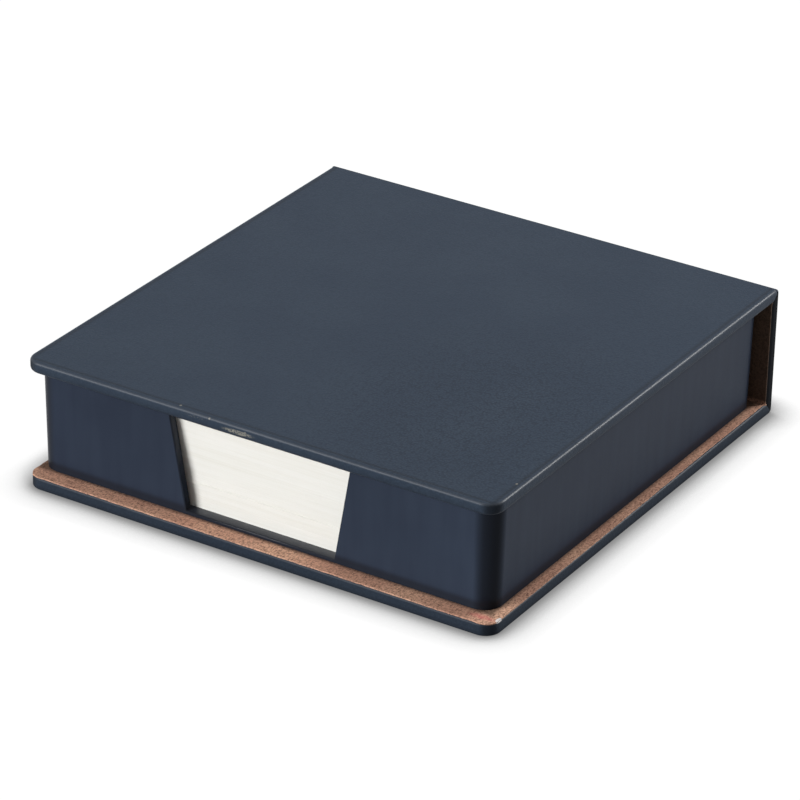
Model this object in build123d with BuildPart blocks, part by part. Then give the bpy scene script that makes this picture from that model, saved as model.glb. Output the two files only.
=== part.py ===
# A book-style memo box. Three boards, wrapped in one sheet of navy leatherette and lined in tan,
# fold into a C: base below, spine at the back, lid on top. A moulded tray glued on the base
# holds the loose memo sheets, and a finger notch in its front wall shows and frees them.
#
# Frame: millimetres, +Z up. The origin is the middle of the underside, the finger notch
# faces -Y, the spine stands at +Y, and X runs along the two folds.

import os
from math import atan, degrees, sqrt

from build123d import *

# Memo sheets, standard 100 x 100 mm paper of 80 g
sheet_side = 100.0
sheet_thickness = 0.1
sheet_play = 1.3

# Moulded tray, square in plan, rounder outside than inside, where the sheets' corners lie. Each
# wall leans out a little from its foot to its rim, so that the tray slips off its mould.
tray_wall = 2.0
tray_floor = 0.8
tray_height = 23.1
tray_wall_lean = 0.45
tray_corner_radius = 4.2
tray_inner_radius = 1.2
tray_rim_radius = 0.3
notch_bottom_width = 35.0
notch_top_width = 42.6

# Case, the same build-up in base, spine and lid
board_thickness = 2.0
cover_thickness = 0.4
lining_thickness = 0.4
case_corner_radius = 3.5
case_edge_radius = 0.35
edge_wrap_margin = 0.05
lining_corner_cut = 0.4
fold_clearance = 0.05

# How the case stands out round the tray's foot, and its gap to the spine at the rim. The
# sample's tray is glued a little left of the middle.
front_overhang = 4.1
side_overhang = 1.6
tray_shift = -1.0
spine_clearance = 0.15
lid_clearance = 0.1

# The stack, from the tray floor up: name, number of sheets, and how far the bundle has slid
# towards the notch and to the right from the middle of the tray, as shares of the play
bundles = [
    ("memo_sheets_lower", 52, 0.50, -0.2),
    ("memo_sheets_forward", 4, 0.80, -0.2),
    ("memo_sheets_middle", 30, 0.62, 0.15),
    ("memo_sheets_upper", 113, 0.70, 0.0),
    ("memo_sheet_top", 1, 0.50, 0.3),
]

# Worked out from the values above
tray_inside = sheet_side + 2 * sheet_play
tray_side = tray_inside + 2 * tray_wall
tray_draft = degrees(atan(tray_wall_lean / tray_height))
case_thickness = cover_thickness + board_thickness + lining_thickness
case_width = tray_side + 2 * side_overhang
case_depth = front_overhang + tray_side + tray_wall_lean + spine_clearance + case_thickness
case_height = tray_height + lid_clearance + 2 * case_thickness
front = -case_depth / 2
back = case_depth / 2
tray_front = front + front_overhang
tray_middle = tray_front + tray_side / 2
tray_rim_front = tray_front - tray_wall_lean
floor_top = case_thickness + tray_floor

# The folds: the boards are mitred at 45 degrees, the lining is rubbed down into the mitre and
# the cover rounds the outer corner, so the mitre starts one fold radius in from that corner
edge_wrap = case_edge_radius + edge_wrap_margin
board_corner_radius = case_corner_radius - edge_wrap
lining_corner_radius = board_corner_radius - lining_corner_cut
fold_radius = cover_thickness + sqrt(2) * lining_thickness
mitre_start = back - fold_radius
groove_bottom = cover_thickness + (sqrt(2) - 1) * lining_thickness + fold_clearance
board_top = cover_thickness + board_thickness
groove_back = back - groove_bottom
spine_face = back - case_thickness
spine_board_back = back - cover_thickness
spine_board_front = back - board_top

middle_height = Plane.XY.offset(case_height / 2)
sides_of_panel = Axis.Z


def finish(part, label):
    """Names one piece and writes it to its own file."""
    part.label = label
    export_step(part, f"parts/{label}.step")


def front_corners(builder):
    """The two upright edges at the front of a panel."""
    return builder.edges().filter_by(sides_of_panel).group_by(Axis.Y)[0]


os.makedirs("parts", exist_ok=True)


# Base. The board is inside, its back edge mitred for the fold.
with BuildPart() as base_board:
    with BuildSketch(Plane.YZ):
        with BuildLine():
            Polyline(
                (front + edge_wrap, cover_thickness),
                (mitre_start, cover_thickness),
                (mitre_start - board_thickness, board_top),
                (front + edge_wrap, board_top),
                close=True,
            )
        make_face()
    extrude(amount=case_width / 2 - edge_wrap, both=True)
    fillet(front_corners(base_board), board_corner_radius)

# The tan lining lies on the board and follows the mitre down to the bottom of the groove.
with BuildPart() as base_lining:
    with BuildSketch(Plane.YZ):
        with BuildLine():
            Polyline(
                (front + edge_wrap, board_top),
                (mitre_start - board_thickness, board_top),
                (mitre_start, cover_thickness),
                (groove_back, groove_bottom),
                (spine_face, case_thickness),
                (front + edge_wrap, case_thickness),
                close=True,
            )
        make_face()
    extrude(amount=case_width / 2 - edge_wrap, both=True)
    fillet(front_corners(base_lining), lining_corner_radius)

# The navy cover runs under the board and wraps its front and side edges.
with BuildPart() as base_cover:
    with BuildSketch(Plane.YZ):
        with BuildLine():
            Polyline(
                (front, 0),
                (mitre_start, 0),
                (mitre_start, cover_thickness),
                (groove_back, groove_bottom),
                (spine_face, case_thickness),
                (front, case_thickness),
                close=True,
            )
        make_face()
    extrude(amount=case_width / 2, both=True)
    fillet(front_corners(base_cover), case_corner_radius)
    lower_rim = base_cover.edges().group_by(Axis.Z)[0].sort_by(Axis.Y)[:-1]
    fillet(lower_rim, case_edge_radius)
    upper_rim = base_cover.edges().group_by(Axis.Z)[-1].sort_by(Axis.Y)[:-1]
    fillet(upper_rim, case_edge_radius)
    add(base_board.part, mode=Mode.SUBTRACT)
    add(base_lining.part, mode=Mode.SUBTRACT)


# Lid. The same panel as the base, turned over at half the height of the box.
with BuildPart() as lid_board:
    mirror(base_board.part, about=middle_height)

with BuildPart() as lid_lining:
    mirror(base_lining.part, about=middle_height)

with BuildPart() as lid_cover:
    mirror(base_cover.part, about=middle_height)


# Spine. A narrow board, mitred along both edges.
with BuildPart() as spine_board:
    with BuildSketch(Plane.YZ):
        with BuildLine():
            Polyline(
                (spine_board_back, fold_radius),
                (spine_board_back, case_height - fold_radius),
                (spine_board_front, case_height - fold_radius - board_thickness),
                (spine_board_front, fold_radius + board_thickness),
                close=True,
            )
        make_face()
    extrude(amount=case_width / 2 - edge_wrap, both=True)

# Its lining faces the tray and goes down into both grooves.
with BuildPart() as spine_lining:
    with BuildSketch(Plane.YZ):
        with BuildLine():
            Polyline(
                (spine_board_front, fold_radius + board_thickness),
                (spine_board_back, fold_radius),
                (groove_back, groove_bottom),
                (spine_face, case_thickness),
                (spine_face, case_height - case_thickness),
                (groove_back, case_height - groove_bottom),
                (spine_board_back, case_height - fold_radius),
                (spine_board_front, case_height - fold_radius - board_thickness),
                close=True,
            )
        make_face()
    extrude(amount=case_width / 2 - edge_wrap, both=True)

# Its cover is the flat of the spine with the wrapped ends.
with BuildPart() as spine_cover:
    with BuildSketch(Plane.YZ):
        with BuildLine():
            Polyline(
                (back, fold_radius),
                (back, case_height - fold_radius),
                (spine_board_back, case_height - fold_radius),
                (groove_back, case_height - groove_bottom),
                (spine_face, case_height - case_thickness),
                (spine_face, case_thickness),
                (groove_back, groove_bottom),
                (spine_board_back, fold_radius),
                close=True,
            )
        make_face()
    extrude(amount=case_width / 2, both=True)
    upright_edges = spine_cover.edges().filter_by(sides_of_panel)
    end_edges = upright_edges.group_by(Axis.X)[0] + upright_edges.group_by(Axis.X)[-1]
    fillet(end_edges.group_by(Axis.Y)[0] + end_edges.group_by(Axis.Y)[-1], case_edge_radius)
    add(spine_board.part, mode=Mode.SUBTRACT)
    add(spine_lining.part, mode=Mode.SUBTRACT)


# Folds. Where the cover turns the outer corner it is the hinge: a quarter round of leatherette.
with BuildPart() as lower_fold_cover:
    with BuildSketch(Plane.YZ):
        with BuildLine():
            outer_turn = CenterArc((mitre_start, fold_radius), fold_radius, -90, 90)
            inner_turn = CenterArc((mitre_start, fold_radius), fold_radius - cover_thickness, -90, 90)
            Line(outer_turn @ 0, inner_turn @ 0)
            Line(outer_turn @ 1, inner_turn @ 1)
        make_face()
    extrude(amount=case_width / 2, both=True)

with BuildPart() as upper_fold_cover:
    mirror(lower_fold_cover.part, about=middle_height)


# Tray. One moulding, open at the top, with a notch in the front wall that narrows downwards
# to the floor.
with BuildPart() as tray:
    with BuildSketch(Plane.XY.offset(case_thickness)):
        with Locations((tray_shift, tray_middle)):
            RectangleRounded(tray_side, tray_side, tray_corner_radius)
    extrude(amount=tray_height, taper=-tray_draft)
    with BuildSketch(Plane.XY.offset(floor_top)):
        with Locations((tray_shift, tray_middle)):
            RectangleRounded(tray_inside, tray_inside, tray_inner_radius)
    extrude(amount=tray_height - tray_floor, taper=-tray_draft, mode=Mode.SUBTRACT)
    with BuildSketch(Plane.XZ.offset(-tray_rim_front)):
        with BuildLine():
            Polyline(
                (tray_shift - notch_bottom_width / 2, floor_top),
                (tray_shift + notch_bottom_width / 2, floor_top),
                (tray_shift + notch_top_width / 2, case_thickness + tray_height),
                (tray_shift - notch_top_width / 2, case_thickness + tray_height),
                close=True,
            )
        make_face()
    extrude(amount=-(tray_wall + tray_wall_lean), mode=Mode.SUBTRACT)
    fillet(tray.edges().group_by(Axis.Z)[-1], tray_rim_radius)


# Memo sheets, in bundles that have slid a little against each other.
bundle_bottom = floor_top
for bundle_name, sheet_count, forward_share, right_share in bundles:
    bundle_height = sheet_count * sheet_thickness
    bundle_x = tray_shift + right_share * sheet_play
    bundle_y = tray_middle - forward_share * sheet_play
    with BuildPart() as bundle:
        with BuildSketch(Plane.XY.offset(bundle_bottom)):
            with Locations((bundle_x, bundle_y)):
                Rectangle(sheet_side, sheet_side)
        extrude(amount=bundle_height)
    finish(bundle.part, bundle_name)
    bundle_bottom = bundle_bottom + bundle_height


finish(base_board.part, "base_board")
finish(base_lining.part, "base_lining")
finish(base_cover.part, "base_cover")
finish(lid_board.part, "lid_board")
finish(lid_lining.part, "lid_lining")
finish(lid_cover.part, "lid_cover")
finish(spine_board.part, "spine_board")
finish(spine_lining.part, "spine_lining")
finish(spine_cover.part, "spine_cover")
finish(lower_fold_cover.part, "lower_fold_cover")
finish(upper_fold_cover.part, "upper_fold_cover")
finish(tray.part, "tray")

print(f"case {case_width:.2f} x {case_depth:.2f} x {case_height:.2f} mm")
print(f"hinge lines y {back - cover_thickness:.3f}, z {cover_thickness:.3f} and {case_height - cover_thickness:.3f}")
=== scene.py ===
import math
import random
from functools import cached_property

import bmesh
import bpy
from mathutils import Matrix, Vector, noise


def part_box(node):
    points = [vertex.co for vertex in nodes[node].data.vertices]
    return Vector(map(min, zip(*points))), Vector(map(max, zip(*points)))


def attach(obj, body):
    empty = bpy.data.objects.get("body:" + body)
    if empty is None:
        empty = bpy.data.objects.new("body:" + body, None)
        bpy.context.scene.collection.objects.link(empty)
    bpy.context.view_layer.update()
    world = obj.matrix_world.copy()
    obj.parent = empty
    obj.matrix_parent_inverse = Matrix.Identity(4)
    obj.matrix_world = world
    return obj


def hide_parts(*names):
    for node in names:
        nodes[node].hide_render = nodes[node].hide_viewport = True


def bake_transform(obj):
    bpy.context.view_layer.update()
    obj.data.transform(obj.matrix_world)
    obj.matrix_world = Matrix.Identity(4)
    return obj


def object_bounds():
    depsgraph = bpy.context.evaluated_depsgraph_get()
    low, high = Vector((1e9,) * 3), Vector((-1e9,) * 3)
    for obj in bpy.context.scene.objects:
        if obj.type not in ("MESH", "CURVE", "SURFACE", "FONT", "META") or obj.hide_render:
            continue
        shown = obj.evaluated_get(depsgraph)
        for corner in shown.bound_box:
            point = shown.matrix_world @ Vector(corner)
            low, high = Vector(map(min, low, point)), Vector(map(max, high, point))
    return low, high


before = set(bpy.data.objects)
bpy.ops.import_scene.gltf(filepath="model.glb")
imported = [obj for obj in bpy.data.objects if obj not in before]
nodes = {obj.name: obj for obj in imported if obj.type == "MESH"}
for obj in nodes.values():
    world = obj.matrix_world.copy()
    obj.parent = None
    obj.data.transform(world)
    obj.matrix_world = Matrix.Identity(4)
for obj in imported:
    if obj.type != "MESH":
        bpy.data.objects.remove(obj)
cad_low, cad_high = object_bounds()
MM = 0.001


# ---------------------------------------------------------------------------------------------
# Boards
# ---------------------------------------------------------------------------------------------
# Three greyboard panels stiffen the base, the spine and the lid. They are cut from 2 mm board,
# mitred along the folds and closed in by the cover outside and the lining inside.

class Field:
    """A value that varies over a surface. Sums and products of fields add Math nodes."""

    def __init__(self, finish, socket):
        self.finish = finish
        self.socket = socket

    def math(self, operation, first, second=0.0):
        return self.finish.node("ShaderNodeMath", {"operation": operation}, {0: first, 1: second})

    def __add__(self, other):
        return self.math("ADD", self, other)

    def __radd__(self, other):
        return self.math("ADD", other, self)

    def __sub__(self, other):
        return self.math("SUBTRACT", self, other)

    def __rsub__(self, other):
        return self.math("SUBTRACT", other, self)

    def __mul__(self, other):
        return self.math("MULTIPLY", self, other)

    def __rmul__(self, other):
        return self.math("MULTIPLY", other, self)

    def __truediv__(self, other):
        return self.math("DIVIDE", self, other)

    def __abs__(self):
        return self.math("ABSOLUTE", self)

    def least(self, other):
        return self.math("MINIMUM", self, other)

    def most(self, other):
        return self.math("MAXIMUM", self, other)

    def floor(self):
        return self.math("FLOOR", self)

    def ramp(self, start, end, low=0.0, high=1.0):
        """Runs smoothly from low to high as the field goes from start to end."""
        return self.finish.node(
            "ShaderNodeMapRange",
            {"interpolation_type": "SMOOTHSTEP"},
            {"Value": self, "From Min": start, "From Max": end, "To Min": low, "To Max": high},
        )


class Finish:
    """The nodes of one finish: a material's, or those of another owner such as a world."""

    def __init__(self, name, owners=bpy.data.materials):
        self.owner = owners.new(name)
        self.owner.use_nodes = True
        self.tree = self.owner.node_tree
        self.tree.nodes.clear()

    def node(self, kind, settings=None, inputs=None, output=0):
        """Adds a node, sets its settings first and its sockets after, and gives one output."""
        made = self.tree.nodes.new(kind)
        for name, value in (settings or {}).items():
            setattr(made, name, value)
        for key, value in (inputs or {}).items():
            if isinstance(value, Field):
                self.tree.links.new(value.socket, made.inputs[key])
            else:
                made.inputs[key].default_value = value
        return Field(self, made.outputs[output]) if made.outputs else None

    @cached_property
    def place(self):
        """The point on the surface, in the piece's own coordinates."""
        return self.node("ShaderNodeTexCoord", output="Object")

    def axes(self):
        """The three coordinates of the place as fields, in metres."""
        outputs = self.node("ShaderNodeSeparateXYZ", None, {0: self.place}).socket.node.outputs
        return [Field(self, outputs[axis]) for axis in range(3)]

    def stretched(self, x, y, z, turn=(0.0, 0.0, 0.0)):
        """The place scaled apart along each axis, for grain that runs one way."""
        inputs = {"Vector": self.place, "Rotation": turn, "Scale": (x, y, z)}
        return self.node("ShaderNodeMapping", None, inputs)

    def noise(self, size, detail=2.0, roughness=0.5, place=None):
        """Soft noise whose lumps are about size metres across, from 0 to 1."""
        inputs = {"Scale": 1 / size, "Detail": detail, "Roughness": roughness}
        inputs["Vector"] = place or self.place
        return self.node("ShaderNodeTexNoise", None, inputs)

    def cells(self, size, smoothness):
        """Distance to the nearest of many scattered points about size metres apart."""
        inputs = {"Scale": 1 / size, "Vector": self.place, "Smoothness": smoothness}
        return self.node("ShaderNodeTexVoronoi", {"feature": "SMOOTH_F1"}, inputs)

    def attribute(self, name):
        """A number kept at the mesh's own points."""
        return self.node("ShaderNodeAttribute", {"attribute_name": name}, None, "Fac")

    def mix(self, share, first, second):
        """Goes from the first colour to the second as share goes from 0 to 1."""
        factor, first_colour, second_colour, mixed_colour = 0, 6, 7, 2
        inputs = {factor: share, first_colour: first, second_colour: second}
        return self.node("ShaderNodeMix", {"data_type": "RGBA"}, inputs, mixed_colour)

    def patch(self, centre, reach, soft=0.5):
        """A mark on the surface: 1 within an ellipsoid, given in millimetres, and 0 outside it."""
        middle = [value * MM for value in centre]
        size = [value * MM for value in reach]
        moved = self.node("ShaderNodeVectorMath", {"operation": "SUBTRACT"}, {0: self.place, 1: middle})
        share = self.node("ShaderNodeVectorMath", {"operation": "DIVIDE"}, {0: moved, 1: size})
        far = self.node("ShaderNodeVectorMath", {"operation": "LENGTH"}, {0: share}, "Value")
        return far.ramp(1.0 - soft, 1.0, 1.0, 0.0)

    def bump(self, height, distance, strength):
        """The normal of a surface raised by height times distance."""
        inputs = {"Height": height, "Distance": distance, "Strength": strength}
        return self.node("ShaderNodeBump", None, inputs)

    def surface(self, **sockets):
        """Joins the Principled surface, with constants set on its own sockets."""
        inputs = {name.replace("_", " "): value for name, value in sockets.items()}
        shader = self.node("ShaderNodeBsdfPrincipled", None, inputs)
        self.node("ShaderNodeOutputMaterial", None, {"Surface": shader})


def colour(red, green, blue):
    """A linear colour."""
    return red, green, blue, 1.0


greyboard = Finish("greyboard")
speckle = greyboard.noise(0.5 * MM, detail=3.0)
fibres = greyboard.noise(0.25 * MM, place=greyboard.stretched(1.0, 0.25, 1.0))
pale_pulp = colour(0.40, 0.37, 0.32)
dark_pulp = colour(0.28, 0.26, 0.23)
greyboard.surface(
    Base_Color=greyboard.mix(speckle.ramp(0.35, 0.7), pale_pulp, dark_pulp),
    Roughness=fibres.ramp(0.3, 0.7, 0.82, 0.95),
    Normal=greyboard.bump(fibres, 0.05 * MM, 0.6),
)
for board in ("base_board", "spine_board", "lid_board"):
    nodes[board].material_slots[0].material = greyboard.owner


# ---------------------------------------------------------------------------------------------
# Base cover
# ---------------------------------------------------------------------------------------------
# The cover is one sheet of navy leatherette, glued round the boards. Under the base it lies
# flat and is wrapped up over the front and the sides, with the front corners rounded.

sheet = 0.4 * MM
cut_edge = 0.12 * MM
corner_radius = 3.5 * MM
base_rim_radius = 0.3 * MM
base_turned_radius = 0.6 * MM
turn_in = 3.0 * MM
turn_in_depth = 0.12 * MM

# The glued sheet is a little uneven, in lumps of a given length, and flat for a way at the fold.
unevenness = 0.03 * MM
base_lump = 17 * MM
wave_pitch = 2.2 * MM
flat_length = 4.0 * MM

base_low, base_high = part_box("base_cover")
fold_low, fold_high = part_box("lower_fold_cover")
half_width = base_high.x
front = base_low.y
back = fold_high.y
fold_start = fold_low.y
fold_radius = fold_high.z
panel = base_high.z
flange = panel - turn_in_depth
box_height = cad_high.z
mitre_face = Vector((0, 1, 1)).normalized()

# Points nearer to each other than this are one point.
exact = 1e-7

bare_board = colour(0.74, 0.70, 0.68)


def leatherette_finish():
    """Navy leatherette: fine pebbled grain, faint clouds in the dye, rubbed smoother and lighter on the
    rims (the lighter colour partly wear, partly a painted highlight), with shade painted in places.
    """
    dark_dye = colour(0.0210, 0.0335, 0.0545)
    light_dye = colour(0.0250, 0.0385, 0.0600)
    pit_dye = colour(0.0120, 0.0205, 0.0345)
    worn_highlight_dye = colour(0.050, 0.056, 0.068)
    bare_cloth = colour(0.26, 0.25, 0.215)
    # The colour of painted shade.
    painted_shade_navy = colour(0.0030, 0.0035, 0.0050)

    finish = Finish("navy_leatherette")
    pebbles = finish.cells(0.50 * MM, smoothness=0.5)
    fine = finish.noise(0.20 * MM)
    creases = finish.noise(1.7 * MM, detail=3.0, roughness=0.6)
    clouds = finish.noise(20 * MM)
    rim_wear_and_highlight = finish.attribute("rim_wear_and_highlight")
    # Shade is painted into the colour where this attribute is set: the panels' upright corner rounds and the
    # spine's end faces, which are also made rough.
    painted_shade = finish.attribute("painted_shade")

    # The grain's pits are darker, and they show most where the lid is handled.
    dye = finish.mix(clouds.ramp(0.3, 0.7), dark_dye, light_dye)
    hollows = pebbles.ramp(0.28, 0.62) * creases.ramp(0.30, 0.65, 0.35, 0.85)
    handled = finish.patch((34, -26, 28.8), (46, 50, 30), soft=0.7)
    grained = finish.mix(hollows * (handled * 0.5 + 0.45), dye, pit_dye)
    # Lighter colour on the rims: partly wear, partly a painted highlight line.
    worn_and_highlighted = finish.mix(rim_wear_and_highlight * fine.ramp(0.35, 0.65, 0.1, 0.6), grained, worn_highlight_dye)

    # Painted shade: a faint dark line on the lid's top just before the sheet turns over the rim, a
    # colour darker towards the table on the base's rim, and darker on the lower part of the lid's sides.
    x, y, z = finish.axes()
    from_rim = (half_width - abs(x)).least(y - front)
    painted_rim_line = from_rim.ramp(0.8 * MM, 1.1 * MM) * from_rim.ramp(1.3 * MM, 2.0 * MM, 1.0, 0.0)
    painted_rim_line = painted_rim_line * z.ramp(box_height - 0.6 * MM, box_height - 0.2 * MM, 0.0, 0.4)
    painted_low_shade = z.ramp(0.2 * MM, 2.4 * MM, 0.55, 0.0)
    painted_low_shade = painted_low_shade.most(z.ramp(box_height - 2.8 * MM, box_height - 0.5 * MM, 0.34, 0.0))
    with_painted_shade = finish.mix(painted_rim_line.most(painted_low_shade).most(painted_shade * 0.95), worn_and_highlighted, painted_shade_navy)

    # Marks of use: scuffs on the lid's front rim, specks on its top and a chip in the base's rim.
    scratched = finish.noise(0.35 * MM, roughness=0.7)
    long_scuff = finish.patch((-3.4, -57.0, 27.4), (4.4, 3.0, 0.6), soft=0.6) * scratched.ramp(0.40, 0.56)
    short_scuff = finish.patch((-2.6, -57.0, 27.1), (0.9, 3.0, 0.3), soft=0.6) * 0.6
    faint_rub = finish.patch((-13.5, -57.0, 27.9), (3.2, 3.0, 0.4), soft=0.8)
    scuffed = long_scuff.most(short_scuff).most(faint_rub * scratched.ramp(0.5, 0.7, 0.0, 0.5))
    for speck in ((-10.1, -56.8, 28.4), (-1.7, -57.0, 27.8), (53.4, -46.8, 28.8), (-17.5, -56.0, 28.8)):
        scuffed = scuffed.most(finish.patch(speck, (0.3, 0.4, 0.3)) * 0.7)
    marked = finish.mix(scuffed * 0.9, with_painted_shade, bare_cloth)
    chip = finish.patch((54.55, -53.9, 2.65), (0.45, 1.3, 0.4), soft=0.3) * fine.ramp(0.3, 0.5)

    height = pebbles * -0.7 + fine * 0.25 + creases * 0.6
    smoother = 1.0 - rim_wear_and_highlight * 0.7
    finish.surface(
        Base_Color=finish.mix(chip, marked, bare_board),
        Roughness=fine.ramp(0.3, 0.7, 0.50, 0.60).most(painted_shade),
        Specular_IOR_Level=0.13,
        Coat_Weight=rim_wear_and_highlight * 0.25,
        Coat_Roughness=0.33,
        Normal=finish.bump(height * smoother, 0.05 * MM, 0.9),
    )
    return finish


def flat_sheet(low, high):
    """A mesh of one rectangle, from its low left corner to its high right one."""
    bm = bmesh.new()
    corners = [low, (high[0], low[1], low[2]), high, (low[0], high[1], high[2])]
    bm.faces.new([bm.verts.new(corner) for corner in corners])
    return bm


def all_of(bm):
    """Every vertex, edge and face of a mesh, as the cutting operators want them."""
    return bm.verts[:] + bm.edges[:] + bm.faces[:]


def level_edges(bm, axis, level):
    """The edges of a mesh that lie at one level across an axis."""
    return [edge for edge in bm.edges if all(abs(vert.co[axis] - level) < exact for vert in edge.verts)]


def rounded(bm, parts, radius, segments, affect="EDGES"):
    """Rounds some edges of a mesh by a radius, or with affect VERTICES some corners of a face."""
    bmesh.ops.bevel(
        bm, geom=parts, affect=affect, offset=radius, segments=segments, profile=0.5, material=-1
    )


def drawn_out(bm, edges, move=(0, 0, 0)):
    """Extrudes open edges by a move, and gives the new points and the new edges."""
    made = bmesh.ops.extrude_edge_only(bm, edges=edges)["geom"]
    points = [part for part in made if isinstance(part, bmesh.types.BMVert)]
    bmesh.ops.translate(bm, verts=points, vec=move)
    return points, [part for part in made if isinstance(part, bmesh.types.BMEdge)]


def slice_into_cells(bm, axis, start, end, pitch):
    """Cuts a mesh by evenly spaced planes across one axis, so that it can undulate."""
    count = round((end - start) / pitch)
    for step in range(1, count):
        place = Vector((0, 0, 0))
        place[axis] = start + (end - start) * step / count
        across = Vector((0, 0, 0))
        across[axis] = 1
        bmesh.ops.bisect_plane(bm, geom=all_of(bm), dist=exact, plane_co=place, plane_no=across)


def undulate(bm, lump, still_from):
    """Sinks each point a little along its normal, as glued sheet follows the board under it, and
    less and less towards the fold at still_from."""
    bm.normal_update()
    for vert in bm.verts:
        level = 0.5 + 0.5 * noise.noise(vert.co / lump)
        level *= min(1.0, max(0.0, (still_from - vert.co.y) / flat_length))
        vert.co -= vert.normal * unevenness * level


def face_along(bm, axis, sign):
    """Turns an open sheet's faces so that most of its area looks along the given axis."""
    total = sum(face.normal[axis] * face.calc_area() for face in bm.faces)
    if total * sign < 0:
        bmesh.ops.reverse_faces(bm, faces=bm.faces[:])


def mark_rim_wear_and_highlight(bm, axis, wear):
    """Notes at each point how far it lies on a rounded rim, between two faces of the panel. There
    the finish is smoother and glossier, and its colour lighter, partly wear and partly a painted
    highlight. Rims that look down aren't touched and keep their grain."""
    bm.normal_update()
    rim_wear_and_highlight = bm.verts.layers.float.new("rim_wear_and_highlight")
    for vert in bm.verts:
        share = vert.normal[axis] ** 2
        looks_down = axis == 2 and vert.normal.z < 0
        vert[rim_wear_and_highlight] = 0.0 if looks_down else wear * 4 * share * (1 - share)


def mark_dark_corners(bm):
    """Notes the upright rounds at a panel's front corners, which see no lamp; shade is painted into the
    colour there.
    """
    bm.normal_update()
    painted_shade = bm.verts.layers.float.new("painted_shade")
    for vert in bm.verts:
        vert[painted_shade] = min(1.0, abs(vert.normal.x * vert.normal.y) * 2.4) * 0.75


def make_piece(name, bm, finish):
    """Makes a smooth-shaded object of a bmesh, with one finish."""
    mesh = bpy.data.meshes.new(name)
    bm.to_mesh(mesh)
    bm.free()
    mesh.materials.append(finish.owner)
    mesh.shade_smooth()
    piece = bpy.data.objects.new(name, mesh)
    bpy.context.scene.collection.objects.link(piece)
    return piece


def even_shading(piece):
    """Keeps flat faces evenly shaded up to their rounded edges."""
    even = piece.modifiers.new("even_shading", "WEIGHTED_NORMAL")
    even.keep_sharp = True


def wrapped_sheet(piece, thickness, edge):
    """Gives the outer face of a glued sheet its thickness and its softened cut edges."""
    shell = piece.modifiers.new("thickness", "SOLIDIFY")
    shell.thickness = thickness
    shell.offset = -1.0
    shell.use_even_offset = True
    soft = piece.modifiers.new("cut_edges", "BEVEL")
    soft.width = edge
    soft.segments = 3
    soft.limit_method = "ANGLE"
    soft.angle_limit = math.radians(50)
    even_shading(piece)


def outwards(point, radius):
    """The level direction in which the edge of a round-cornered panel lies from a point near it."""
    reach = half_width - radius
    nearest = Vector((max(-reach, min(reach, point.x)), max(front + radius, point.y), point.z))
    return (point - nearest).normalized()


def panel_cover(lump, outer_radius, turned_radius):
    """The outer face of the cover round one panel, with that face down and the fold at the back.
    The rim is rounded by outer_radius outside, and by turned_radius where the sheet turns in."""
    bm = flat_sheet((-half_width, front, 0), (half_width, fold_start, 0))
    front_corners = [vert for vert in bm.verts if vert.co.y < 0]
    rounded(bm, front_corners, corner_radius, 14, "VERTICES")
    wrapped = [edge for edge in bm.edges if min(vert.co.y for vert in edge.verts) < fold_start - MM]
    _, top_edges = drawn_out(bm, wrapped, (0, 0, flange))
    turned_points, _ = drawn_out(bm, top_edges)
    for vert in turned_points:
        vert.co -= outwards(vert.co, corner_radius) * turn_in

    # The wrapped ends stop at the mitre.
    bmesh.ops.bisect_plane(
        bm, geom=all_of(bm), dist=exact, plane_co=(0, back, 0), plane_no=mitre_face, clear_outer=True
    )

    for level, radius in ((0, outer_radius), (flange, turned_radius)):
        rim = [
            edge
            for edge in level_edges(bm, 2, level)
            if min(vert.co.y for vert in edge.verts) < fold_start - MM
            and len(edge.link_faces) == 2
            and edge.calc_face_angle(0.0) > 0.5
        ]
        rounded(bm, rim, radius, 6)
    bmesh.ops.recalc_face_normals(bm, faces=bm.faces[:])
    slice_into_cells(bm, 0, -half_width, half_width, wave_pitch)
    slice_into_cells(bm, 1, front, fold_start, wave_pitch)
    undulate(bm, lump, still_from=fold_start)
    face_along(bm, 2, -1)
    return bm


leatherette = leatherette_finish()
base_shell = panel_cover(base_lump, base_rim_radius, base_turned_radius)
mark_rim_wear_and_highlight(base_shell, axis=2, wear=0.35)
mark_dark_corners(base_shell)
base_wrap = make_piece("base_wrap", base_shell, leatherette)
wrapped_sheet(base_wrap, sheet, cut_edge)
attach(base_wrap, "base")
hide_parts("base_cover")


# ---------------------------------------------------------------------------------------------
# Lid cover
# ---------------------------------------------------------------------------------------------
# On the lid the same sheet lies on top and is wrapped down over the front and the sides.

lid_rim_radius = 0.72 * MM
lid_turned_radius = 0.85 * MM
lid_lump = 13 * MM


def turned_over(bm):
    """Mirrors a mesh about half the height of the box, with its faces outwards again."""
    bmesh.ops.scale(bm, verts=bm.verts[:], vec=(1, 1, -1))
    bmesh.ops.translate(bm, verts=bm.verts[:], vec=(0, 0, box_height))
    bmesh.ops.reverse_faces(bm, faces=bm.faces[:])
    return bm


lid_shell = turned_over(panel_cover(lid_lump, lid_rim_radius, lid_turned_radius))
mark_rim_wear_and_highlight(lid_shell, axis=2, wear=1.0)
mark_dark_corners(lid_shell)
lid_wrap = make_piece("lid_wrap", lid_shell, leatherette)
wrapped_sheet(lid_wrap, sheet, cut_edge)
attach(lid_wrap, "lid")
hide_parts("lid_cover")


# ---------------------------------------------------------------------------------------------
# Spine cover
# ---------------------------------------------------------------------------------------------
# Over the spine the sheet stands upright, with its two ends wrapped round to the front.

spine_rim_radius = 0.45 * MM
spine_turned_radius = 1.1 * MM

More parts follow.
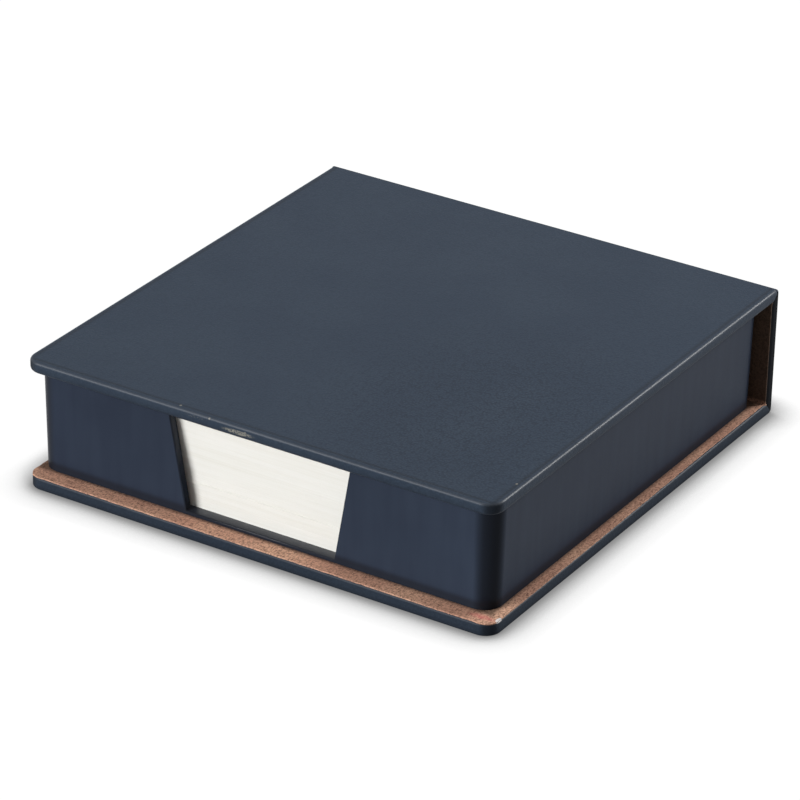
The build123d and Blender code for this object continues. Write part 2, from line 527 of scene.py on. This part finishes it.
spine_shell = flat_sheet((-half_width, back, fold_radius), (half_width, back, box_height - fold_radius))
spine_ends = [
    edge for edge in spine_shell.edges if abs(edge.verts[0].co.x - edge.verts[1].co.x) < exact
]
_, end_edges = drawn_out(spine_shell, spine_ends, (0, -flange, 0))
turned_points, _ = drawn_out(spine_shell, end_edges)
for vert in turned_points:
    vert.co.x -= math.copysign(turn_in, vert.co.x)
for fold_point, fold_side in (((0, back, 0), -1), ((0, back, box_height), 1)):
    bmesh.ops.bisect_plane(
        spine_shell,
        geom=all_of(spine_shell),
        dist=exact,
        plane_co=fold_point,
        plane_no=(0, -1, fold_side),
        clear_outer=True,
    )
for level, radius in ((back, spine_rim_radius), (back - flange, spine_turned_radius)):
    rim = [
        edge
        for edge in level_edges(spine_shell, 1, level)
        if all(abs(abs(vert.co.x) - half_width) < exact for vert in edge.verts)
    ]
    rounded(spine_shell, rim, radius, 6)
bmesh.ops.recalc_face_normals(spine_shell, faces=spine_shell.faces[:])
slice_into_cells(spine_shell, 0, -half_width, half_width, wave_pitch)
face_along(spine_shell, 1, 1)
mark_rim_wear_and_highlight(spine_shell, axis=0, wear=0.5)

# Shade is painted into the spine's end faces, which lie in the shade between base and lid.
painted_shade = spine_shell.verts.layers.float.new("painted_shade")
for vert in spine_shell.verts:
    vert[painted_shade] = min(1.0, max(0.0, abs(vert.normal.x) * 2 - 0.6))
spine_wrap = make_piece("spine_wrap", spine_shell, leatherette)
wrapped_sheet(spine_wrap, sheet, cut_edge)
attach(spine_wrap, "spine")
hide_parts("spine_cover")


# ---------------------------------------------------------------------------------------------
# Folds
# ---------------------------------------------------------------------------------------------
# Between two panels the sheet turns a quarter round with no board behind it, and that is the
# hinge. On the real box it flattens as the panels open; here it is built only as it lies shut.

fold_sheet = 0.15 * MM
fold_cut_edge = 0.03 * MM


def fold_skin():
    """The outer face of the lower fold, with its ends rounded as the spine's are."""
    side_depth = spine_rim_radius * 1.1
    bm = flat_sheet((-half_width, fold_start, 0), (half_width, fold_start, side_depth))
    outer_corners = [vert for vert in bm.verts if vert.co.z < exact]
    rounded(bm, outer_corners, spine_rim_radius, 6, "VERTICES")
    inner_edge = [edge for edge in bm.edges if all(vert.co.z > side_depth - exact for vert in edge.verts)]
    bmesh.ops.delete(bm, geom=inner_edge, context="EDGES")
    bmesh.ops.spin(
        bm,
        geom=bm.verts[:] + bm.edges[:],
        cent=(0, fold_start, fold_radius),
        axis=(1, 0, 0),
        angle=math.pi / 2,
        steps=10,
        use_merge=False,
    )
    bmesh.ops.remove_doubles(bm, verts=bm.verts[:], dist=exact)
    slice_into_cells(bm, 0, -half_width, half_width, wave_pitch)
    bmesh.ops.recalc_face_normals(bm, faces=bm.faces[:])
    face_along(bm, 2, -1)
    mark_rim_wear_and_highlight(bm, axis=0, wear=0.5)
    return bm


lower_skin = make_piece("lower_fold_skin", fold_skin(), leatherette)
wrapped_sheet(lower_skin, fold_sheet, fold_cut_edge)
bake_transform(lower_skin)
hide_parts("lower_fold_cover")

upper_skin = make_piece("upper_fold_skin", turned_over(fold_skin()), leatherette)
wrapped_sheet(upper_skin, fold_sheet, fold_cut_edge)
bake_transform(upper_skin)
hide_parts("upper_fold_cover")


# ---------------------------------------------------------------------------------------------
# Lining
# ---------------------------------------------------------------------------------------------
# Tan leatherette lines the inside of all three panels. It is cut by hand a little short of the
# rims, glued down and rubbed into the mitred folds.

lining_thickness = 0.3 * MM
lining_cut_edge = 0.08 * MM
lining_corner = 2.7 * MM
lining_pitch = 1.1 * MM
base_lining_inset = 0.2 * MM
lid_lining_inset = 1.4 * MM

# The hand-cut edge wavers over a short and a long length, and strays at the right towards the back.
cut_waver = 0.10 * MM
short_waver = 1.3 * MM
long_waver = 6.0 * MM
stray = 0.25 * MM
stray_start = -20 * MM
stray_length = 45 * MM

spine_face = back - panel
groove_depth = base_high.y - spine_face
sheet_reach = half_width - base_lining_inset

# Places nearer to each other than this count as the same.
close = 1e-6

# The tray stands on the base lining. Its walls lean out from the foot to the rim.
tray_low, tray_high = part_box("tray")
tray_middle = (tray_high + tray_low) / 2
wall_lean = 0.45 * MM


def lining_finish():
    """Tan leatherette: warm and matt, finely speckled, with short dark nap in slanting strokes."""
    deep_tan = colour(0.59, 0.325, 0.227)
    light_tan = colour(0.71, 0.425, 0.290)
    fleck_brown = colour(0.21, 0.105, 0.074)
    nap_brown = colour(0.105, 0.052, 0.037)
    # The colour of painted shade.
    painted_shade_tan = colour(0.022, 0.016, 0.010)
    stain_red = colour(0.50, 0.13, 0.12)

    finish = Finish("tan_lining")
    grain = finish.noise(0.55 * MM, detail=3.0, roughness=0.7)
    nap_place = finish.stretched(1.0, 0.30, 1.0, turn=(0.0, 0.0, math.radians(8)))
    nap = finish.noise(0.30 * MM, roughness=0.7, place=nap_place)
    clouds = finish.noise(14 * MM)
    tan = finish.mix(clouds.ramp(0.35, 0.7), deep_tan, light_tan)
    flecked = finish.mix(grain.ramp(0.40, 0.66) * 0.7, tan, fleck_brown)
    napped = finish.mix(nap.ramp(0.54, 0.66) * 0.7, flecked, nap_brown)

    # Painted shade darkens the lining along the tray's foot, as a contact shadow, and towards both
    #     # ends, beyond 46 mm from the middle, where the spine's lining lies in shade.
    x, y, z = finish.axes()
    foot_reach = (tray_high.x - tray_low.x) / 2 - wall_lean
    from_foot = abs(x - tray_middle.x).most(abs(y - tray_middle.y)) - foot_reach
    painted_foot_shadow = from_foot.ramp(-0.3 * MM, 1.2 * MM, 0.75, 0.0) * z.ramp(panel, panel + MM, 1.0, 0.0)
    painted_end_shade = abs(x).ramp(46 * MM, 50 * MM) * z.ramp(panel, panel + MM) * 0.85
    with_painted_shade_tan = finish.mix(painted_foot_shadow.most(painted_end_shade), napped, painted_shade_tan)

    # Marks of use: a reddish stain and a chip at the base's front right corner.
    stain = finish.patch((51.3, -54.6, 2.8), (3.8, 1.3, 1.0), soft=0.8) * grain.ramp(0.35, 0.6, 0.3, 0.8)
    stained = finish.mix(stain, with_painted_shade_tan, stain_red)
    chip = finish.patch((54.5, -53.9, 2.7), (0.5, 1.1, 0.5), soft=0.3) * grain.ramp(0.3, 0.5)
    height = grain * -0.6 + nap * -0.6
    finish.surface(
        Base_Color=finish.mix(chip, stained, bare_board),
        Roughness=grain.ramp(0.3, 0.7, 0.72, 0.88),
        Specular_IOR_Level=0.2,
        Normal=finish.bump(height, 0.07 * MM, 0.9),
    )
    return finish


def lining_sheet(inset, waver_seed):
    """The upper face of the lining of one panel, with the fold at the back."""
    reach = half_width - inset
    bm = flat_sheet((-reach, front + inset, panel), (reach, spine_face, panel))
    front_corners = [vert for vert in bm.verts if vert.co.y < 0]
    rounded(bm, front_corners, lining_corner, 8, "VERTICES")
    slice_into_cells(bm, 0, -half_width, half_width, lining_pitch)
    slice_into_cells(bm, 1, front, back, lining_pitch)

    rims = [vert for vert in bm.verts if vert.is_boundary and vert.co.y < spine_face - close]
    for vert in rims:
        place = Vector((vert.co.x, vert.co.y, waver_seed))
        shift = cut_waver * noise.noise(place / short_waver)
        shift += 0.5 * cut_waver * noise.noise(place / long_waver)
        if vert.co.x > reach - cut_waver:
            shift += stray * min(1.0, max(0.0, (vert.co.y - stray_start) / stray_length))
        vert.co -= outwards(vert.co, lining_corner + inset) * (shift + 0.3 * cut_waver)

    fold_edges = level_edges(bm, 1, spine_face)
    drawn_out(bm, fold_edges, (0, groove_depth, -groove_depth))
    bmesh.ops.recalc_face_normals(bm, faces=bm.faces[:])
    face_along(bm, 2, 1)
    return bm


def spine_lining_sheet():
    """The face of the spine's lining that looks at the tray, rubbed down into both grooves."""
    top = box_height - panel
    bm = flat_sheet((-sheet_reach, spine_face, panel), (sheet_reach, spine_face, top))
    for level, fall in ((panel, -groove_depth), (top, groove_depth)):
        drawn_out(bm, level_edges(bm, 2, level), (0, groove_depth, fall))
    bmesh.ops.recalc_face_normals(bm, faces=bm.faces[:])
    face_along(bm, 1, -1)
    return bm


lining = lining_finish()
for name, sheet_mesh, body in (
    ("base_lining", lining_sheet(base_lining_inset, waver_seed=0.0), "base"),
    ("lid_lining", turned_over(lining_sheet(lid_lining_inset, waver_seed=40 * MM)), "lid"),
    ("spine_lining", spine_lining_sheet(), "spine"),
):
    lined = make_piece(name + "_sheet", sheet_mesh, lining)
    wrapped_sheet(lined, lining_thickness, lining_cut_edge)
    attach(lined, body)
    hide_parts(name)


# At the bottom of each mitre the lining runs on from one panel to the next, as a narrow strip
# that is folded away when the box is shut; here it is built only in that folded state.
strip_radius = 0.62 * MM
strip_thickness = 0.1 * MM
strip_cut_edge = 0.02 * MM


def groove_strip():
    """The strip of lining in the lower groove, bent a quarter round inside the fold."""
    bm = bmesh.new()
    ends = [bm.verts.new((side * sheet_reach, fold_start, fold_radius - strip_radius)) for side in (-1, 1)]
    bmesh.ops.spin(
        bm,
        geom=[*ends, bm.edges.new(ends)],
        cent=(0, fold_start, fold_radius),
        axis=(1, 0, 0),
        angle=math.pi / 2,
        steps=8,
        use_merge=False,
    )
    bmesh.ops.remove_doubles(bm, verts=bm.verts[:], dist=exact)
    bmesh.ops.recalc_face_normals(bm, faces=bm.faces[:])
    face_along(bm, 2, 1)
    return bm


lower_strip = make_piece("lower_groove_lining", groove_strip(), lining)
wrapped_sheet(lower_strip, strip_thickness, strip_cut_edge)
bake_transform(lower_strip)

upper_strip = make_piece("upper_groove_lining", turned_over(groove_strip()), lining)
wrapped_sheet(upper_strip, strip_thickness, strip_cut_edge)
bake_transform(upper_strip)


# ---------------------------------------------------------------------------------------------
# Tray
# ---------------------------------------------------------------------------------------------
# A moulded tray in satin navy plastic is glued on the base lining. It is open at the top, and
# its front wall has a finger notch that narrows down to the floor.

wall = 2.0 * MM
floor_thickness = 0.8 * MM
outer_radius = 4.2 * MM
inner_radius = 1.2 * MM
rim_round = 0.3 * MM
foot_round = 0.15 * MM
notch_half_bottom = 17.5 * MM
notch_half_top = 21.3 * MM

foot_low = tray_low + Vector((wall_lean, wall_lean, 0))
foot_high = tray_high - Vector((wall_lean, wall_lean, 0))
foot_size = foot_high - foot_low
inner_front = foot_low.y + wall
tray_floor = tray_low.z + floor_thickness
notch_middle = tray_middle.x
notch_lean = (notch_half_top - notch_half_bottom) / (tray_high.z - tray_floor)


def moulding_finish():
    """Navy moulding with a satin skin, faintly streaked and wavy, glossier in the notch, with shade
    painted in at the upright corners and the foot, and a lighter tone painted towards the right.
    """
    deep_navy = colour(0.0235, 0.0315, 0.0520)
    light_navy = colour(0.0325, 0.0440, 0.0690)
    corner_shade = colour(0.0040, 0.0045, 0.0065)
    painted_foot_shade = colour(0.0125, 0.0125, 0.0150)

    finish = Finish("tray_moulding")
    ripple = finish.noise(9 * MM, detail=1.0)
    orange_peel = finish.noise(0.8 * MM)
    streaks = finish.noise(2.5 * MM, place=finish.stretched(1.0, 1.0, 0.1))
    across, _, height = finish.axes()
    shade = streaks.ramp(0.3, 0.7) * 0.6 + ripple.ramp(0.3, 0.7) * 0.4
    # Painted light: the colour is also made lighter towards the right of the tray.
    shade = shade * 0.5 + across.ramp(-60 * MM, 45 * MM, 0.0, 0.5)
    navy = finish.mix(shade, deep_navy, light_navy)
    # Painted shade: the colour is darkened at the upright rounded corners.
    corner_painted_shade = finish.mix(finish.attribute("corner_painted_shade") * 0.72, navy, corner_shade)
    # Painted shade: the colour darkens in a band up to 2.6 mm above the tray's foot.
    above_foot = height - tray_low.z
    finish.surface(
        Base_Color=finish.mix(above_foot.ramp(1.2 * MM, 2.6 * MM, 0.6, 0.0), corner_painted_shade, painted_foot_shade),
        Roughness=orange_peel.ramp(0.3, 0.7, 0.30, 0.36),
        Specular_IOR_Level=0.025,
        Coat_Weight=finish.attribute("inside") * 0.8 + 0.05,
        Coat_Roughness=0.05,
        Normal=finish.bump(ripple * 0.8 + orange_peel * 0.03, 0.02 * MM, 0.5),
    )
    return finish


tray_mesh = bmesh.new()
bmesh.ops.create_cube(tray_mesh, size=1.0)
bmesh.ops.scale(tray_mesh, verts=tray_mesh.verts[:], vec=foot_size)
bmesh.ops.translate(tray_mesh, verts=tray_mesh.verts[:], vec=tray_middle)
mouth = max(tray_mesh.faces, key=lambda face: face.calc_center_median().z)
bmesh.ops.inset_region(tray_mesh, faces=[mouth], thickness=wall, use_even_offset=True)
bmesh.ops.inset_region(tray_mesh, faces=[mouth], thickness=0.0, depth=-(foot_size.z - floor_thickness))
for reach, radius in ((foot_size.x / 2, outer_radius), (foot_size.x / 2 - wall, inner_radius)):
    uprights = [
        edge
        for edge in tray_mesh.edges
        if abs(edge.verts[0].co.z - edge.verts[1].co.z) > MM
        and all(abs(abs(vert.co.x - tray_middle.x) - reach) < close for vert in edge.verts)
    ]
    rounded(tray_mesh, uprights, radius, 16)


# The notch: the front wall is cut by its two slanting sides and taken out down to the floor.
def front_wall_faces():
    """The wide faces that lie within the thickness of the front wall."""
    wide = 10 * MM
    return [
        face
        for face in tray_mesh.faces
        if all(vert.co.y < inner_front + close for vert in face.verts)
        and max(vert.co.x for vert in face.verts) - min(vert.co.x for vert in face.verts) > wide
    ]


def cut_front_wall(point, across):
    """Cuts the faces of the front wall by a plane."""
    faces = front_wall_faces()
    edges = {edge for face in faces for edge in face.edges}
    verts = {vert for face in faces for vert in face.verts}
    bmesh.ops.bisect_plane(
        tray_mesh, geom=[*faces, *edges, *verts], dist=exact, plane_co=point, plane_no=across
    )


for side in (-1, 1):
    corner = (notch_middle + side * notch_half_bottom, 0, tray_floor)
    cut_front_wall(corner, (side, 0, -notch_lean))
cut_front_wall((0, 0, tray_floor), (0, 0, 1))


def notch_reach(height):
    """Half the width of the notch at a height."""
    return notch_half_bottom + notch_lean * (height - tray_floor)


def in_notch(face):
    """True for a face of the front wall between the notch's sides and above the floor."""
    centre = face.calc_center_median()
    in_front_wall = centre.y < inner_front + close and centre.z > tray_floor + close
    return in_front_wall and abs(centre.x - notch_middle) < notch_reach(centre.z)


bmesh.ops.delete(tray_mesh, geom=[face for face in tray_mesh.faces if in_notch(face)], context="FACES")
open_edges = [edge for edge in tray_mesh.edges if len(edge.link_faces) == 1]
sill_edges = [
    edge for edge in open_edges if all(abs(vert.co.z - tray_floor) < close for vert in edge.verts)
]
bmesh.ops.contextual_create(tray_mesh, geom=sill_edges)
for side in (-1, 1):
    cheek_edges = [
        edge
        for edge in open_edges
        if abs(edge.verts[0].co.z - edge.verts[1].co.z) > MM
        and side * (edge.verts[0].co.x - notch_middle) > 0
    ]
    bmesh.ops.contextual_create(tray_mesh, geom=cheek_edges)

# Edges that the cuts left in flat faces are taken out again.
flat_angle = 1e-4
flat_edges = [edge for edge in tray_mesh.edges if edge.is_manifold and edge.calc_face_angle(1.0) < flat_angle]
bmesh.ops.dissolve_edges(tray_mesh, edges=flat_edges, use_verts=True)


def on_rim(edge):
    """True for an outer or inner edge of the tray's upper rim."""
    level = all(abs(vert.co.z - tray_high.z) < close for vert in edge.verts)
    return level and edge.calc_face_angle(0.0) > 0.5


def on_cheek(edge):
    """True for an outer or inner edge of the notch's two slanting cheeks."""
    ends = [vert.co for vert in edge.verts]
    above_floor = all(end.z > tray_floor - close for end in ends)
    on_side = all(abs(abs(end.x - notch_middle) - notch_reach(end.z)) < close for end in ends)
    return above_floor and on_side and abs(ends[0].z - ends[1].z) > MM


def on_sill(edge):
    """True for the front edge of the notch's sill."""
    ends = [vert.co for vert in edge.verts]
    at_floor = all(abs(end.z - tray_floor) < close for end in ends)
    in_front = all(abs(end.y - foot_low.y) < close for end in ends)
    in_width = all(abs(end.x - notch_middle) < notch_half_bottom + close for end in ends)
    return at_floor and in_front and in_width


soft_edges = [edge for edge in tray_mesh.edges if on_rim(edge) or on_cheek(edge) or on_sill(edge)]
rounded(tray_mesh, soft_edges, rim_round, 4)
foot_edges = [
    edge for edge in tray_mesh.edges if all(abs(vert.co.z - tray_low.z) < close for vert in edge.verts)
]
rounded(tray_mesh, foot_edges, foot_round, 2)
bmesh.ops.recalc_face_normals(tray_mesh, faces=tray_mesh.faces[:])

# Each point is marked for the finish, and the walls then lean out from the foot to the rim.
inside = tray_mesh.verts.layers.float.new("inside")
# This layer marks the outer upright rounds, where shade is painted into the colour.
corner_painted_shade = tray_mesh.verts.layers.float.new("corner_painted_shade")
tray_mesh.normal_update()
straight = foot_size.x / 2 - outer_radius
for vert in tray_mesh.verts:
    from_middle = vert.co - tray_middle
    past = Vector([math.copysign(max(abs(way) - straight, 0), way) for way in from_middle.xy])
    vert[inside] = min(1.0, max(0.0, (outer_radius - past.length) / MM))
    vert[corner_painted_shade] = min(1.0, abs(vert.normal.x * vert.normal.y) * 2.6) * (1 - vert[inside])
    rise = (vert.co.z - tray_low.z) / foot_size.z
    if past.length > exact:
        vert.co += past.normalized().to_3d() * wall_lean * rise

memo_tray = make_piece("memo_tray", tray_mesh, moulding_finish())
even_shading(memo_tray)
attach(memo_tray, "base")
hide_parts("tray")


# ---------------------------------------------------------------------------------------------
# Memo sheets
# ---------------------------------------------------------------------------------------------
# About 200 loose sheets of off-white paper lie in the tray. They are stacked in bundles that
# have slid a little, and within a bundle each sheet lies its own few hundredths out of line.

leaf = 0.1 * MM
leaf_filled = 0.98
leaf_slip = 0.02 * MM
leaf_turn = math.radians(0.03)
shuffle = random.Random(7)

# Four sheets stand out to the left in the notch, and the upper bundle leans towards it.
in_line = Vector((0, 0, 0))
leaf_draw = {"memo_sheets_forward": Vector((-0.35 * MM, 0.10 * MM, 0))}
leaf_lean = {"memo_sheets_upper": Vector((0, -0.7 * MM, 0))}


def paper_finish():
    """Uncoated off-white paper, each sheet a shade of its own along the cut edges."""
    light_paper = colour(0.805, 0.80, 0.762)
    dark_paper = colour(0.755, 0.745, 0.69)

    finish = Finish("memo_paper")
    _, _, height = finish.axes()
    sheet_number = (height / leaf).floor()
    own_shade = finish.node("ShaderNodeTexWhiteNoise", {"noise_dimensions": "1D"}, {"W": sheet_number})
    streaks = finish.noise(3 * MM, place=finish.stretched(0.12, 0.12, 3.0))
    shade = own_shade * 0.2 + streaks * 0.8
    fibre = finish.noise(0.12 * MM)
    finish.surface(
        Base_Color=finish.mix(shade.ramp(0.3, 0.9), light_paper, dark_paper),
        Roughness=fibre.ramp(0.3, 0.7, 0.80, 0.92),
        Specular_IOR_Level=0.3,
        Normal=finish.bump(fibre, 0.01 * MM, 0.5),
    )
    return finish


paper = paper_finish()
for bundle in (
    "memo_sheets_lower",
    "memo_sheets_forward",
    "memo_sheets_middle",
    "memo_sheets_upper",
    "memo_sheet_top",
):
    bundle_low, bundle_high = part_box(bundle)
    bundle_size = bundle_high - bundle_low
    leaf_count = round(bundle_size.z / leaf)
    leaf_size = Matrix.Diagonal((bundle_size.x, bundle_size.y, leaf * leaf_filled, 1.0))
    stack = bmesh.new()
    for number in range(leaf_count):
        leaf_place = Vector(
            (
                (bundle_low.x + bundle_high.x) / 2 + shuffle.uniform(-leaf_slip, leaf_slip),
                (bundle_low.y + bundle_high.y) / 2 + shuffle.uniform(-leaf_slip, leaf_slip),
                bundle_low.z + (number + 0.5) * leaf,
            )
        )
        leaf_place += leaf_draw.get(bundle, in_line)
        leaf_place += leaf_lean.get(bundle, in_line) * (number / leaf_count)
        turned = Matrix.Rotation(shuffle.uniform(-leaf_turn, leaf_turn), 4, "Z")
        bmesh.ops.create_cube(stack, size=1.0, matrix=Matrix.Translation(leaf_place) @ turned @ leaf_size)
    sheets = make_piece(bundle.replace("memo_", "paper_"), stack, paper)
    sheets.data.shade_flat()
    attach(sheets, "base")
    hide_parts(bundle)


# ---------------------------------------------------------------------------------------------
# Studio
# ---------------------------------------------------------------------------------------------
# A pale floor under the box, one large softbox at the front left, a smaller one at the back
# right that draws the thin line on the lid's edge, a faint one above, and even light all round.

floor_size = 6.0
floor_drop = 0.05 * MM
contact_reach = 8 * MM
even_light = 0.14


def grey(level):
    """A neutral linear colour."""
    return level, level, level, 1.0


def seen_share(finish):
    """1 where the camera looks, also by way of gloss or glass, and 0 for light that bounces."""
    rays = finish.node("ShaderNodeLightPath").socket.node.outputs
    camera_rays = Field(finish, rays["Is Camera Ray"])
    glossy_rays = Field(finish, rays["Is Glossy Ray"])
    return camera_rays.most(glossy_rays).most(Field(finish, rays["Is Transmission Ray"]))


bpy.ops.mesh.primitive_plane_add(size=floor_size, location=(0, 0, -floor_drop))
floor = bpy.context.object
floor.name = "studio_floor"

# The camera sees a white floor that turns grey in a narrow band where the box stands on it. Light
# that bounces meets a plain grey floor instead, which throws a little of it up at the box.
pale = Finish("studio_pale")
seen = seen_share(pale)
contact = pale.node("ShaderNodeAmbientOcclusion", {"samples": 16}, {"Distance": contact_reach}, "AO")
open_share = ((contact - 0.36) * 1.61).least(1.0)
halo = open_share * open_share * open_share * 0.74 + 0.25
glow = pale.node("ShaderNodeEmission", None, {"Color": grey(1.0), "Strength": seen * halo})
bounce_floor = pale.node("ShaderNodeBsdfDiffuse", None, {"Color": grey(0.28)})
shadow_floor = pale.node("ShaderNodeBsdfDiffuse", None, {"Color": grey(0.04)})
chosen = pale.node("ShaderNodeMixShader", None, {0: seen, 1: bounce_floor, 2: shadow_floor})
total = pale.node("ShaderNodeAddShader", None, {0: glow, 1: chosen})
pale.node("ShaderNodeOutputMaterial", None, {"Surface": total})
floor.data.materials.append(pale.owner)

sky = Finish("studio_light", bpy.data.worlds)
brightness = seen_share(sky) * (1.0 - even_light) + even_light
background = sky.node("ShaderNodeBackground", None, {"Color": grey(1.0), "Strength": brightness})
sky.node("ShaderNodeOutputWorld", None, {"Surface": background})
bpy.context.scene.world = sky.owner


def softbox(name, azimuth, elevation, distance, width, height, power):
    """A rectangular lamp that looks at the box from a direction given in degrees."""
    lamp = bpy.data.lights.new(name, "AREA")
    lamp.shape = "RECTANGLE"
    lamp.size = width
    lamp.size_y = height
    lamp.energy = power
    turn = math.radians(azimuth)
    rise = math.radians(elevation)
    towards = Vector((math.sin(turn) * math.cos(rise), -math.cos(turn) * math.cos(rise), math.sin(rise)))
    lamp_object = bpy.data.objects.new(name, lamp)
    lamp_object.location = towards * distance
    lamp_object.rotation_euler = (-towards).to_track_quat("-Z", "Y").to_euler()
    bpy.context.scene.collection.objects.link(lamp_object)


softbox("front_softbox", azimuth=-32, elevation=18, distance=2.6, width=1.2, height=1.2, power=78.0)
softbox("back_softbox", azimuth=147, elevation=29, distance=1.2, width=0.45, height=0.25, power=12.0)
softbox("top_softbox", azimuth=-30, elevation=75, distance=1.3, width=0.6, height=0.6, power=2.4)

# The camera looks down on the front right corner through a long lens, from 0.9 m away.
camera_azimuth = math.radians(31.574)
camera_elevation = math.radians(27.318)
camera_roll = math.radians(1.246)
camera_distance = 891.3 * MM
camera_slide_right = 1.516 * MM
camera_slide_up = 2.903 * MM
focal_pixels = 4356.5
image_pixels = 800
film_width = 36.0

box_middle = Vector((0, 0, box_height / 2))
to_camera = Vector(
    (
        math.sin(camera_azimuth) * math.cos(camera_elevation),
        -math.cos(camera_azimuth) * math.cos(camera_elevation),
        math.sin(camera_elevation),
    )
)
level_right = Vector((math.cos(camera_azimuth), math.sin(camera_azimuth), 0))
level_up = to_camera.cross(level_right)
view_right = math.cos(camera_roll) * level_right + math.sin(camera_roll) * level_up
view_up = to_camera.cross(view_right)
camera_place = box_middle + to_camera * camera_distance
camera_place -= view_right * camera_slide_right + view_up * camera_slide_up

lens = bpy.data.cameras.new("camera")
lens.sensor_width = film_width
lens.lens = focal_pixels / image_pixels * film_width
lens.clip_start = 0.05
lens.clip_end = 20.0
camera = bpy.data.objects.new("camera", lens)
camera_turn = Matrix((view_right, view_up, to_camera)).transposed().to_4x4()
camera.matrix_world = Matrix.Translation(camera_place) @ camera_turn
bpy.context.scene.collection.objects.link(camera)
bpy.context.scene.camera = camera
bpy.context.scene.view_settings.view_transform = "Standard"
